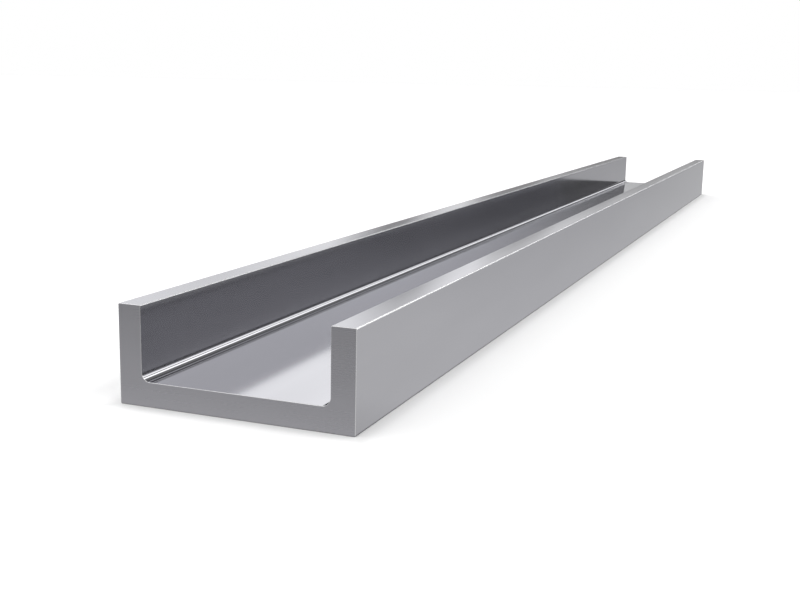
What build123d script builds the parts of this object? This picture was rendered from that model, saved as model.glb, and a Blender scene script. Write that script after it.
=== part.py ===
from build123d import *
import os

# Sizes in millimetres. The channel lies on the back of its web, with its flanges up.
# X runs across the section, Y along the length and Z up. The origin is the middle of the underside.
channel_width = 100.0      # over the outside faces of the two flanges
channel_height = 40.0      # from the underside of the web to the toes of the flanges
web_thickness = 10.0
flange_thickness = 10.0
channel_length = 1000.0
root_radius = 3.5          # fillet in each inside corner, where web and flange meet
corner_radius = 0.5        # slight round on the outer corners and on the toes
end_break = 0.2            # edges broken all round each sawn end

# What follows from the sizes above
gap_between_flanges = channel_width - 2 * flange_thickness
flange_rise = channel_height - web_thickness
root_fit = min(root_radius, 0.45 * gap_between_flanges, 0.8 * flange_rise)
corner_fit = min(corner_radius, 0.45 * flange_thickness, 0.45 * web_thickness)
end_fit = min(end_break, 0.9 * corner_fit, 0.25 * channel_length)


def channel_section():
    """The U of the cross-section: a web with a flange at each edge, and square toes."""
    with BuildSketch(Plane.XZ) as section:
        Rectangle(channel_width, channel_height, align=(Align.CENTER, Align.MIN))
        with Locations((0, web_thickness)):
            Rectangle(
                gap_between_flanges,
                flange_rise,
                align=(Align.CENTER, Align.MIN),
                mode=Mode.SUBTRACT,
            )
        roots = section.vertices().filter_by_position(Axis.Y, web_thickness, web_thickness)
        outer_corners = section.vertices() - roots
        fillet(roots, radius=root_fit)
        fillet(outer_corners, radius=corner_fit)
    return section.sketch


def sawn_length(section):
    """The section run out to its length, cut square and deburred at both ends."""
    bar = extrude(section, amount=channel_length / 2, both=True)
    ends = bar.faces().filter_by(Axis.Y).sort_by(Axis.Y)
    end_edges = ends[0].edges() + ends[-1].edges()
    return chamfer(end_edges, length=end_fit)


channel = sawn_length(channel_section())
channel.label = "channel"

os.makedirs("parts", exist_ok=True)
export_step(channel, "parts/channel.step")
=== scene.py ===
# %% [markdown]
# # A metal channel section
#
# The object is one length of steel channel: a flat web with a flange standing at each edge.
# The mill drew it in one piece, so its faces are flat and smooth, its inside corners have a
# small fillet, and its ends are sawn square.
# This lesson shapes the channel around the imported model, gives its faces four finishes of
# one steel, and then lights it as a long product is lit in a studio.

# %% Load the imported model
import math

import bpy
from mathutils import Matrix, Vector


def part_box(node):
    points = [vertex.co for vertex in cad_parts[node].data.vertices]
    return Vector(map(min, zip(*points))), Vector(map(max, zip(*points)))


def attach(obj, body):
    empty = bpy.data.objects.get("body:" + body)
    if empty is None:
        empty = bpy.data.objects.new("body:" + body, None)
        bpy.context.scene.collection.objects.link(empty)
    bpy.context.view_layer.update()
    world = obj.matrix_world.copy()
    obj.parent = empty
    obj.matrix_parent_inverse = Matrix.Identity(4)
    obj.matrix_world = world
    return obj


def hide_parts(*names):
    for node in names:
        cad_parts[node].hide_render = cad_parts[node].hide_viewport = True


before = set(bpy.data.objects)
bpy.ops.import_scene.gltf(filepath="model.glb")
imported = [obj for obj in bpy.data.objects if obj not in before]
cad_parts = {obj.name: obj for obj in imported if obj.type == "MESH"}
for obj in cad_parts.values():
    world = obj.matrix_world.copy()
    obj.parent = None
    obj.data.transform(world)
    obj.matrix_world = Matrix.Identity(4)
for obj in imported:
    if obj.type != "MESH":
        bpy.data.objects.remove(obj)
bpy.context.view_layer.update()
bpy.ops.object.select_all(action="DESELECT")
print("packed nodes:", sorted(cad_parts))

# %% [markdown]
# ## Sizes
#
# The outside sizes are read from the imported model, so the looks can't drift away from it.
# Only what a box can't tell is written here: the wall, the fillets and the broken edges.
# Blender works in metres, so a millimetre is named once and used everywhere.

# %% Sizes of the channel
MM = 0.001
low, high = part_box("channel")
width, length, height = high - low
wall = 10 * MM              # web and flanges are equally thick
root_radius = 3.5 * MM      # fillet where web and flange meet
corner_radius = 0.5 * MM    # slight round on outer corners and toes
end_break = 0.2 * MM        # deburred edge all round each sawn end
inner_face = width / 2 - wall    # x of a flange's inner face
touch = 0.01 * MM           # how near a coordinate must be to count as equal
print("channel:", [round(size / MM, 3) for size in (width, height, length)], "mm")


# %% [markdown]
# ## Finding edges and faces by place
#
# In the viewport an edge is picked with a click. In code it is picked by where it lies.
# Each helper selects what passes a test, in edit mode, and leaves all else unselected, so
# the operator that follows acts on nothing more. A last helper counts the faces, and brings
# the mesh up to date first, because edit mode works on a copy of it.

# %% Selection helpers
facing = 0.9                # share of a normal along an axis, to count as looking that way


def near(value, target):
    return abs(value - target) < touch


def select_edges(piece, wanted):
    """Selects, in edit mode, the edges whose two end points pass the test."""
    bpy.ops.mesh.select_mode(type="EDGE")
    bpy.ops.mesh.select_all(action="DESELECT")
    bpy.ops.object.mode_set(mode="OBJECT")
    points = piece.data.vertices
    for edge in piece.data.edges:
        edge.select = wanted(*(points[i].co for i in edge.vertices))
    bpy.ops.object.mode_set(mode="EDIT")


def select_faces(piece, wanted):
    """Selects, in edit mode, the faces whose centre and normal pass the test."""
    bpy.ops.mesh.select_mode(type="FACE")
    bpy.ops.mesh.select_all(action="DESELECT")
    bpy.ops.object.mode_set(mode="OBJECT")
    for face in piece.data.polygons:
        face.select = wanted(face.center, face.normal)
    bpy.ops.object.mode_set(mode="EDIT")


def count_faces(piece, step):
    """Prints how many faces the piece has after a step."""
    piece.update_from_editmode()
    print(step, len(piece.data.polygons), "faces")


# %% [markdown]
# ## The web and its flanges
#
# A channel could be a box with a groove cut by a boolean, but that leaves a dense join to
# clean up. Here it is raised as the section is drawn: the web starts as a flat bar, two
# cuts mark where the flanges stand, and the two outer strips are extruded up to the toes.

# %% Raise the channel from its web
bpy.ops.mesh.primitive_cube_add(size=1, location=(0, 0, wall / 2))
channel = bpy.context.object
channel.name = "steel_channel"
channel.scale = (width, length, wall)
bpy.ops.object.transform_apply(location=True, rotation=True, scale=True)

bpy.ops.object.mode_set(mode="EDIT")
for side in (-1, 1):
    bpy.ops.mesh.select_all(action="SELECT")
    bpy.ops.mesh.bisect(plane_co=(side * inner_face, 0, 0), plane_no=(1, 0, 0))
select_faces(channel, lambda centre, normal: normal.z > facing and abs(centre.x) > inner_face)
bpy.ops.mesh.extrude_region_move(TRANSFORM_OT_translate={"value": (0, 0, height - wall)})
count_faces(channel, "raised channel:")


# %% [markdown]
# ## Fillets and rounds along the length
#
# No steel edge is perfectly sharp, and the thin bright line along an edge is what makes
# metal look like metal. The two roots get their fillet first, because their bevel is the
# larger one, and then the six long outer edges get a slight round.
# A fillet needs more segments than a round: it is wide enough to show whole reflections.

# %% Round the long edges
def runs_lengthwise(a, b):
    return not near(a.y, b.y)


def is_root(a, b):
    return (
        runs_lengthwise(a, b)
        and near(abs(a.x), inner_face) and near(a.z, wall)
        and near(abs(b.x), inner_face) and near(b.z, wall)
    )


def is_outer_corner(a, b):
    on_toe = near(a.z, height)
    on_sole = near(a.z, 0) and near(abs(a.x), width / 2)
    return runs_lengthwise(a, b) and (on_toe or on_sole)


select_edges(channel, is_root)
bpy.ops.mesh.bevel(offset=root_radius, segments=12, affect="EDGES")
select_edges(channel, is_outer_corner)
bpy.ops.mesh.bevel(offset=corner_radius, segments=4, affect="EDGES")
count_faces(channel, "with fillets and rounds:")


# %% [markdown]
# ## The sawn ends
#
# A saw leaves a burr, and a file takes it off and breaks the edge all round. The bevels
# have cut each end into many small faces, so these are dissolved into one face first, and
# then its outline is bevelled. Last, all normals are made to point outwards.

# %% Close and deburr the sawn ends
def on_an_end(a, b):
    return near(abs(a.y), length / 2) and near(a.y, b.y)


select_faces(channel, lambda centre, normal: abs(normal.y) > facing)
bpy.ops.mesh.dissolve_faces()
select_edges(channel, on_an_end)
bpy.ops.mesh.bevel(offset=end_break, segments=2, affect="EDGES")
bpy.ops.mesh.select_all(action="SELECT")
bpy.ops.mesh.normals_make_consistent(inside=False)
bpy.ops.object.mode_set(mode="OBJECT")
count_faces(channel, "with deburred ends:")

# %% [markdown]
# ## Smooth rounds between flat faces
#
# Smooth shading averages the normals of neighbouring faces, and on a large flat face beside
# a narrow round that bends the reflection. A Weighted Normal modifier lets the large faces
# rule, so the flats stay flat and only the rounds turn.

# %% Shade it smooth without bending the flats
sharp_angle = math.radians(40)    # faces that meet more steeply keep a sharp edge
bpy.ops.object.shade_smooth_by_angle(angle=sharp_angle)
weights = channel.modifiers.new("flat faces rule", "WEIGHTED_NORMAL")
weights.keep_sharp = True
bpy.ops.object.modifier_apply(modifier=weights.name)
print("finished channel:", len(channel.data.polygons), "faces, box",
      [round(size / MM, 2) for size in channel.dimensions], "mm")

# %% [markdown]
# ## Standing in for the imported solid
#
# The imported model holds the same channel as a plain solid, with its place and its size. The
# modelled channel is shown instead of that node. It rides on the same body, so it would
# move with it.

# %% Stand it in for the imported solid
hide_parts("channel")
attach(channel, "root")
print(channel.name, "stands in for the packed channel")


# %% [markdown]
# ## A short way to write nodes
#
# A material is a tree of nodes. In the editor a node is added, its numbers are typed in and
# its sockets are wired. The helper does the same in one line: what comes from another node
# is wired to its socket, and what is a plain number or colour is set on it.

# %% Node helpers
def node_bench(tree):
    """Returns a function that adds a node to the tree, sets it up and feeds its sockets."""
    def add(kind, feeds=None, **settings):
        node = tree.nodes.new("ShaderNode" + kind)
        for setting, value in settings.items():
            setattr(node, setting, value)
        for socket, feed in (feeds or {}).items():
            if isinstance(feed, bpy.types.NodeSocket):
                tree.links.new(feed, node.inputs[socket])
            else:
                node.inputs[socket].default_value = feed
        return node
    return add


def maths(add, operation, *values):
    """What a Math node makes of the values, wired or plain."""
    return add("Math", dict(enumerate(values)), operation=operation).outputs[0]


def levels(add, value, stops, unit=1):
    """Reads a level at a value from 0 to 1, off a colour ramp that holds levels up to the unit."""
    ramp = add("ValToRGB", {0: value})
    points = ramp.color_ramp.elements
    while len(points) < len(stops):
        points.new(1.0)
    for point, (place, level) in zip(points, stops):
        point.position = place
        point.color = (level / unit, level / unit, level / unit, 1)
    return ramp.outputs[0]


# %% [markdown]
# ## Marks and clouds
#
# Every finish is made of two noises. Marks are the small lines or specks that a tool left,
# and clouds are the broad, faint changes in shade from handling and oil.
# A noise stretched on one axis turns its grains into lines, so the size of a grain along
# x, y and z is all that says which way the metal was worked. The noise reads Object
# coordinates, which are in metres, so these are real sizes on the steel.

# %% Stretched noise
noise_low, noise_high = 0.3, 0.7    # most of a noise lies between these


def grain(add, place, size, detail):
    """Noise whose grains have the given size in metres along x, y and z."""
    stretched = add("Mapping", {"Vector": place, "Scale": [1 / side for side in size]})
    noise = add("TexNoise", {"Vector": stretched.outputs[0], "Scale": 1, "Detail": detail})
    return noise.outputs["Fac"]


def spread(add, noise, lowest, highest):
    """Spreads the middle of a noise, where most of it lies, from lowest to highest."""
    return add("MapRange", {
        "Value": noise, "From Min": noise_low, "From Max": noise_high,
        "To Min": lowest, "To Max": highest,
    }).outputs[0]


# %% [markdown]
# ## Two things that only the drawn faces have
#
# The photograph shows a darker line where the left fillet runs out into the web. It is painted
# shade in the inside corner: the steel's colour is darkened by the distance from that line,
# with a smooth step so that it has no rim.
#
# In the photograph the bright and the grey half of the web also meet a few millimetres
# further left than a flat mirror would put them. Why is a guess: a drawn web need not be
# quite flat. A lean of a few degrees in the bump's height, which fades out towards the
# right flange, turns the reflection that much, and the mesh keeps the true flat face.

# %% Painted root shade and lean
# These place the painted shade along the left root; clean steel below means steel with no painted
# shade.
past_fillet = 0.5 * MM       # how far beyond the fillet's end the line runs
root_shade_line = (root_radius + past_fillet - inner_face, 0, wall)
root_shade_core = 1.0 * MM    # fully dark this near to the line
root_shade_reach = 2.8 * MM   # clean steel from here on
lean_end = 14 * MM           # the height stops falling at this x
lean_fade = 16 * MM          # over this much, so the change is too slow to see


def painted_root_shade(add, place, root_shade_share):
    """1 where no shade is painted, falling to the given share on the line at the left root, where the
    painted shade is darkest.
    """
    no_length = (1, 0, 1)    # keeps x and z, and drops y
    section = add("VectorMath", {0: place, 1: no_length}, operation="MULTIPLY").outputs[0]
    away = add("VectorMath", {0: section, 1: root_shade_line}, operation="DISTANCE").outputs["Value"]
    return add("MapRange", {
        "Value": away, "From Min": root_shade_core, "From Max": root_shade_reach,
        "To Min": root_shade_share, "To Max": 1,
    }, interpolation_type="SMOOTHSTEP").outputs[0]


def leaning(add, place, lean):
    """A height that falls towards the right flange by the lean, and then levels out."""
    across = add("SeparateXYZ", {0: place}).outputs["X"]
    until = maths(add, "SMOOTH_MIN", across, lean_end, lean_fade)
    return maths(add, "MULTIPLY", until, -math.tan(math.radians(lean)))


# %% [markdown]
# ## One steel, made by one function
#
# All the finishes are the same metal, so one function makes them. The marks and the clouds
# each move the roughness up and down by the given change, and the clouds also move the
# shade by three parts in a hundred. The marks are a height for the bump as well, of a
# thousandth of a millimetre at most.
# The edge tint holds the steel back a little where it is seen at a glancing angle.

# %% A metal with fine marks
edge_tint = (0.715, 0.717, 0.735, 1)
shade_change = 0.03


def shaded(colour, share):
    """The colour times a share, with the fourth number that a socket wants."""
    return [share * part for part in colour] + [1]


def make_steel(name, colour, roughness, change, mark_size, mark_depth, cloud_size,
               lean=0, root_shade_share=1):
    """A steel of the given colour and roughness, with marks and clouds of the given sizes."""
    material = bpy.data.materials.new(name)
    material.use_nodes = True
    add = node_bench(material.node_tree)
    wire = material.node_tree.links.new
    shader = material.node_tree.nodes["Principled BSDF"].inputs
    shader["Metallic"].default_value = 1
    shader["Specular Tint"].default_value = edge_tint
    place = add("TexCoord").outputs["Object"]
    marks = grain(add, place, mark_size, detail=2)
    clouds = grain(add, place, cloud_size, detail=3)

    fine = spread(add, marks, roughness - change, roughness + change)
    broad = spread(add, clouds, -change, change)
    wire(maths(add, "ADD", fine, broad), shader["Roughness"])

    # A Mix node keeps its two colours in sockets 6 and 7, and their mixture in output 2
    darker = shaded(colour, 1 - shade_change)
    lighter = shaded(colour, 1 + shade_change)
    shade = add("Mix", {"Factor": spread(add, clouds, 0, 1), 6: darker, 7: lighter},
                data_type="RGBA").outputs[2]
    # Below a share of 1, shade is painted into the colour along the left root.
    if root_shade_share < 1:
        unshaded = painted_root_shade(add, place, root_shade_share)
        shade = add("VectorMath", {0: shade, "Scale": unshaded}, operation="SCALE").outputs[0]
    wire(shade, shader["Base Color"])

    relief = maths(add, "MULTIPLY", marks, mark_depth)
    if lean:
        relief = maths(add, "ADD", relief, leaning(add, place, lean))
    bump = add("Bump", {"Strength": 1, "Distance": 1, "Height": relief})
    wire(bump.outputs[0], shader["Normal"])
    print("finish:", name, "with marks of", [round(side / MM, 1) for side in mark_size], "mm")
    return material


# %% [markdown]
# ## The drawn faces
#
# Most of the channel was pulled through a die, which leaves it smooth and grey, with very
# fine lines along the length. The lines are 0.6 mm apart and 120 mm long, and so shallow
# that they soften a reflection along the bar and hardly show by themselves.

# %% Drawn steel
# Along the left root this finish carries painted shade, down to half its colour.
drawn_and_root_shaded_steel = make_steel(
    "drawn_and_root_shaded_steel", colour=(0.405, 0.404, 0.421), roughness=0.10, change=0.008,
    mark_size=(0.6 * MM, 120 * MM, 0.6 * MM), mark_depth=0.0006 * MM,
    cloud_size=(25 * MM, 160 * MM, 25 * MM), lean=2.45, root_shade_share=0.5)

# %% [markdown]
# ## The sawn faces
#
# A band saw goes across, so its marks run from side to side, a third of a millimetre apart.
# A sawn face scatters more light than a drawn one, so it is rougher. Its steel is also a
# little darker, partly as sawn steel is and partly as painted shade for the dim light on the ends.

# %% Sawn steel
# The darker colour is partly sawn steel and partly painted shade.
sawn_and_shaded_steel = make_steel(
    "sawn_and_shaded_steel", colour=(0.335, 0.332, 0.355), roughness=0.28, change=0.008,
    mark_size=(60 * MM, 18 * MM, 0.3 * MM), mark_depth=0.00012 * MM,
    cloud_size=(40 * MM, 12 * MM, 15 * MM))

# %% [markdown]
# ## The painted highlight and the filed edges
#
# In the photograph a bright line runs all along the right flange's outer edge. It is a painted
# highlight: the steel of that round is made almost white. The other edges of the toes and the
# outlines of the sawn ends look only touched with a file, so they are duller and speckled.
# Their steel is lighter than the drawn faces', partly as filed metal and partly as a painted highlight.

# %% Painted highlight and filed steel
# The right outer round is made almost white: a painted highlight.
painted_highlight_steel = make_steel(
    "painted_highlight_steel", colour=(0.98, 0.98, 0.99), roughness=0.22, change=0.02,
    mark_size=(2 * MM, 5 * MM, 2 * MM), mark_depth=0.001 * MM,
    cloud_size=(6 * MM, 20 * MM, 6 * MM))
# Lighter than drawn steel, partly as bare filed metal and partly as a painted highlight on the thin
# edge lines.
filed_and_highlight_steel = make_steel(
    "filed_and_highlight_steel", colour=(0.62, 0.62, 0.63), roughness=0.20, change=0.03,
    mark_size=(3 * MM, 1 * MM, 1 * MM), mark_depth=0.001 * MM,
    cloud_size=(10 * MM, 10 * MM, 6 * MM))

# %% [markdown]
# ## Giving each face its finish
#
# Painting by hand would mean picking faces again. A face's normal already tells what made
# it: a sawn face looks straight along the length, a drawn one straight across, up or down,
# and what looks partly along the length is the filed outline of an end. The rounds at the
# toes look neither way. The fillets and the rounds at the bottom came out of the die.

# %% Assign the finishes by where a face looks
straight = 0.999             # share of a normal along an axis, for a flat face
slanting = 0.1               # share along the length, for the outline of an end
DRAWN, SAWN_AND_SHADED, PAINTED_HIGHLIGHT, FILED_AND_HIGHLIGHT = range(4)
for finish in (drawn_and_root_shaded_steel, sawn_and_shaded_steel, painted_highlight_steel, filed_and_highlight_steel):
    channel.data.materials.append(finish)


def finish_of(face):
    """The finish of a face, from where it looks and where it lies."""
    lengthwise = abs(face.normal.y)
    flat = max(abs(face.normal.x), abs(face.normal.z)) > straight
    if lengthwise > straight:
        return SAWN_AND_SHADED
    if lengthwise > slanting:
        return FILED_AND_HIGHLIGHT
    if flat or face.center.z < height / 2:
        return DRAWN
    # The right flange's outer round gets the painted highlight, the other toe rounds the filed steel.
    return PAINTED_HIGHLIGHT if face.center.x > width / 2 - corner_radius else FILED_AND_HIGHLIGHT


for face in channel.data.polygons:
    face.material_index = finish_of(face)
used = [face.material_index for face in channel.data.polygons]
# Faces counted as rubbed carry the painted highlight; sawn and filed ones partly painted shade and
# highlight.
print("faces drawn, sawn, rubbed, filed:", [used.count(i) for i in (DRAWN, SAWN_AND_SHADED, PAINTED_HIGHLIGHT, FILED_AND_HIGHLIGHT)])

# %% [markdown]
# ## A pale floor
#
# The photograph shows the channel on white, with a soft shadow at its foot. A floor painted
# pale stays grey under plain light, and more lamps would burn out the steel. So the paint
# gets a lift that only the camera's own rays see. The lift is smaller near the channel,
# measured from its outline, so that shadow is painted there on top of the real one, giving it
# its depth and its soft rim. Its levels were chosen by setting the shadow in renders against
# the one in the photograph.

# %% Floor plane and the camera's lift
floor_side = 40              # metres, past the edges of every view
lift_reach = 50 * MM         # distance from the channel at which the last level is met
# The low levels near the channel paint shadow onto the floor.
lift_levels = [              # share of that distance, and light added to the paint there
    (0, 0.0), (0.03, 0.03), (0.05, 0.05), (0.08, 0.095), (0.13, 0.17), (0.2, 0.22),
    (0.35, 0.21), (0.5, 0.21), (0.7, 0.23), (1, 0.25),
]
bpy.ops.mesh.primitive_plane_add(size=floor_side, location=(0, 0, 0))
floor = bpy.context.object
floor.name = "studio_floor"
print("floor:", floor_side, "m wide, lifted for the camera in", len(lift_levels), "steps")

# %% [markdown]
# ## The floor as the steel mirrors it
#
# The steel's outer face mirrors the floor beside it. What it mirrors is a pool of light painted
# into the floor's emission: full beside the near part of the channel, fading towards both ends.
# These levels are read along y, from one metre before the middle to one metre behind it.
# Near the channel's outline that painted light drops almost to nothing, a painted contact
# shadow, and the thin dark line in the face's foot comes from there.

# %% Floor as seen in the steel
pool_reach = 1.0
pool_levels = [              # metres along the channel, and how bright the floor mirrors there
    (-1.0, 0.40), (-0.69, 0.54), (-0.54, 0.74), (-0.50, 0.86), (-0.45, 1.0),
    (-0.30, 1.0), (-0.15, 0.94), (0.10, 0.86), (0.50, 0.78), (1.0, 0.74),
]
# Painted contact shadow: the mirrored floor dims close to the channel.
painted_contact_shadow = [(0, 0.15), (0.02, 1), (1, 1)]    # share of the lift's reach, and light left
floor_colour = (0.8, 0.8, 0.8, 1)


def make_floor_paint():
    """A pale paint, lifted for the camera, with a painted pool of light and a painted contact shadow
    that the steel mirrors.
    """
    material = bpy.data.materials.new("pale_floor")
    material.use_nodes = True
    material.node_tree.nodes.clear()
    add = node_bench(material.node_tree)
    place = add("SeparateXYZ", {0: add("TexCoord").outputs["Object"]}).outputs
    beside = maths(add, "SUBTRACT", maths(add, "ABSOLUTE", place["X"]), width / 2)
    beyond = maths(add, "SUBTRACT", maths(add, "ABSOLUTE", place["Y"]), length / 2)
    away = maths(add, "DIVIDE", maths(add, "MAXIMUM", beside, beyond), lift_reach)
    rays = add("LightPath").outputs

    paint = add("BsdfDiffuse", {"Color": floor_colour})
    lift = add("Emission", {"Color": levels(add, away, lift_levels), "Strength": rays["Is Camera Ray"]})
    seen = add("AddShader", {0: paint.outputs[0], 1: lift.outputs[0]})

    along = add("MapRange", {"Value": place["Y"], "From Min": -pool_reach, "From Max": pool_reach})
    stops = [((y + pool_reach) / (2 * pool_reach), level) for y, level in pool_levels]
    mirrored = add("Emission", {
        "Color": levels(add, along.outputs[0], stops),
        "Strength": levels(add, away, painted_contact_shadow),
    })
    indirect = maths(add, "MAXIMUM", rays["Is Glossy Ray"], rays["Is Transmission Ray"])
    choice = add("MixShader", {0: indirect, 1: seen.outputs[0], 2: mirrored.outputs[0]})
    add("OutputMaterial", {"Surface": choice.outputs[0]})
    return material


floor.data.materials.append(make_floor_paint())
print("floor paint:", len(floor.data.materials[0].node_tree.nodes), "nodes")

# %% [markdown]
# ## A studio of long soft lights
#
# A shiny bar shows the room, so the room is what has to be made. A photographer hangs long
# soft boxes beside and over a long product. A world of bands does this with no lamps to
# hide: each band is a range of the angle around the channel's length, from the horizon on
# the right (0 degrees), over the top (90), to the horizon on the left (180).
#
# A bright band with a dark one beside it draws one line in a fillet, because a fillet turns
# through all the angles. A flat face looks at one angle only, and takes one level.

# %% Bands around the length
light_unit = 5.0             # brightest level that the ramp can hold
band_levels = [
    (0, 0.35), (21.5, 0.35),                         # dark, low on the right
    (23.5, 2.4), (36.5, 2.3),                        # soft box on the right
    (38.5, 0.5), (47, 0.5),                          # gap
    (49, 3.1), (61.5, 3.1),                          # brightest box, draws the fillet's line
    (65, 0.36), (93, 0.36),                          # dark ceiling
    (99, 1.3), (117, 1.3), (120, 0.6), (129, 0.6),   # faint box and gap on the left
    (132, 2.15), (145.4, 2.15), (146.6, 1.9),        # large box on the left, for the web
    (149, 1.9), (151.5, 1.86), (154.5, 1.66),        # and for the two toes
    (158, 1.5), (160, 1.85), (167, 1.8),             # its lower rim
    (172, 1.2), (180, 0.8),                          # falling off to the horizon
]

# %% [markdown]
# ## Shades that vary the light along the bar
#
# In the photograph the tops and the web change from light to dark several times along the
# length, as they would if the soft boxes didn't run all the way. A point far along the bar
# mirrors what stands nearly straight ahead, and a near point what stands further to the
# side. So each shade takes away a share of the light by its turn from straight ahead, in
# degrees, with left negative, and works only over its own part of the bands.
#
# The shares were set by measuring how bright the tops and the web are along the
# bar in the photograph and in a render, and moving each stop until the two came close.

# %% Shades
half_turn = 180              # degrees from the right horizon to the left one
turn_reach = 60              # degrees to each side that the turns cover
shade_unit = 2.0             # strongest share that the ramps around the length can hold
most_lost = 0.97             # a shade never takes all the light
low_right = (
    [(-60, 0), (0, 0.4), (6, 0.65), (11, 0.62), (12.6, 0.55), (13.4, 0.59), (14.4, 0.667),
     (17, 0.62), (22, 0.36), (28, 0.08), (36, 0)],
    [(0, 1), (21.5, 1), (23.5, 1.5), (25, 1.62), (27, 0)])
right = (
    [(-60, 0), (-10, 0), (0, 0.6), (8, 0.9), (10, 0.85), (11, 0.75), (12, 0.64), (13, 0.52),
     (14, 0.41), (15, 0.31), (16, 0.22), (17.5, 0.1), (20, 0.02), (24, 0)],
    [(25, 0), (27, 1.06), (30, 1.04), (32, 1), (36.5, 1), (38.5, 0)])
upper_left = (
    [(-60, 0), (-34, 0), (-30, 0.16), (-24.4, 0.06), (-23, 0.52), (-21.6, 0.94), (-20.6, 0.88),
     (-19.6, 0.5), (-18.6, 0.27), (-17.8, 0.26), (-16.8, 0.75), (-15.6, 1.05), (-14.4, 1.0),
     (-13.4, 0.78), (-12.2, 0.97), (-11.3, 1.2), (-10.5, 1.17), (-9.3, 1.4), (-7.5, 1.42),
     (-6.5, 1.7), (7, 1.7), (30, 0)],
    [(118, 0), (128, 0.39), (152, 0.39), (155, 1), (157.5, 1), (159.5, 0)])
low_left = (
    [(-60, 0), (-34, 0), (-28, 0.05), (-22, 0.2), (-17, 0.44), (-14, 0.52), (-10, 0.62),
     (10, 0.66), (40, 0)],
    [(157.5, 0), (159.5, 1), (160, 1), (164, 1.45), (180, 1.45)])
shades = [low_right, right, upper_left, low_left]
print("studio:", len(band_levels), "band levels,", len(shades), "shades")


# %% [markdown]
# ## The world that holds the studio
#
# The two angles come from the direction of the ray: around the length from x and z, and the
# turn from x and y. The light of a direction is its band's level times what the shades
# leave. Only the camera's own rays see plain white instead, as the backdrop of a shop photo.

# %% World
def make_studio():
    """A world of bands around the length, shaded by turn, and white to the camera."""
    world = bpy.data.worlds.new("studio")
    world.use_nodes = True
    world.node_tree.nodes.clear()
    add = node_bench(world.node_tree)
    x, y, z = add("SeparateXYZ", {0: add("TexCoord").outputs["Generated"]}).outputs
    around = maths(add, "DIVIDE", maths(add, "ARCTAN2", z, x), math.pi)
    turn_share = 1 / math.radians(2 * turn_reach)
    ahead = 0.5    # straight ahead is the middle of the ramps by turn
    turn = maths(add, "MULTIPLY_ADD", maths(add, "ARCTAN2", x, y), turn_share, ahead)

    def over_around(stops, unit):
        shares = [(angle / half_turn, level) for angle, level in stops]
        ramp = levels(add, around, shares, unit)
        return maths(add, "MULTIPLY", ramp, unit)

    def over_turn(stops):
        shifted = [((angle + turn_reach) / (2 * turn_reach), level) for angle, level in stops]
        return levels(add, turn, shifted)

    lost = 0.0
    for by_turn, by_around in shades:
        share = maths(add, "MULTIPLY", over_turn(by_turn), over_around(by_around, shade_unit))
        lost = maths(add, "ADD", lost, share)
    kept = maths(add, "SUBTRACT", 1.0, maths(add, "MINIMUM", lost, most_lost))
    light = maths(add, "MULTIPLY", over_around(band_levels, light_unit), kept)

    # A Mix node keeps its two plain numbers in sockets 2 and 3
    camera_rays = add("LightPath").outputs["Is Camera Ray"]
    strength = add("Mix", {0: camera_rays, 2: light, 3: 1.0}, data_type="FLOAT").outputs[0]
    background = add("Background", {"Color": (1, 1, 1, 1), "Strength": strength})
    add("OutputWorld", {"Surface": background.outputs[0]})
    return world


bpy.context.scene.world = make_studio()
print("world:", len(bpy.context.scene.world.node_tree.nodes), "nodes")

# %% [markdown]
# ## The camera
#
# The camera stands low, before the near end and to the right of it. Its place, direction
# and focal length were found together, by fitting the long edges and the two outlines of
# the ends to the photograph, and they are written as a photographer would say them: where
# the eye is, how far it turns left and looks down, and how much the camera is tilted.

# %% Camera
picture_width = 800          # pixels
film_width = 36              # mm
focal_length = 1122.1        # in pixels of the picture
eye = (204.8 * MM, -length / 2 - 352.6 * MM, 126.5 * MM)
turn_left = math.radians(21.47)
look_down = math.radians(11.17)
tilt = math.radians(1.14)
bpy.ops.object.camera_add()
camera = bpy.context.object
camera.matrix_world = (
    Matrix.Translation(eye)
    @ Matrix.Rotation(turn_left, 4, "Z")
    @ Matrix.Rotation(math.pi / 2 - look_down, 4, "X")
    @ Matrix.Rotation(tilt, 4, "Z")
)
camera.data.sensor_width = film_width
camera.data.lens = focal_length / picture_width * film_width
camera.data.clip_start = 0.01
bpy.context.scene.camera = camera
bpy.context.scene.view_settings.view_transform = "Standard"
print("camera lens:", round(camera.data.lens, 2), "mm")
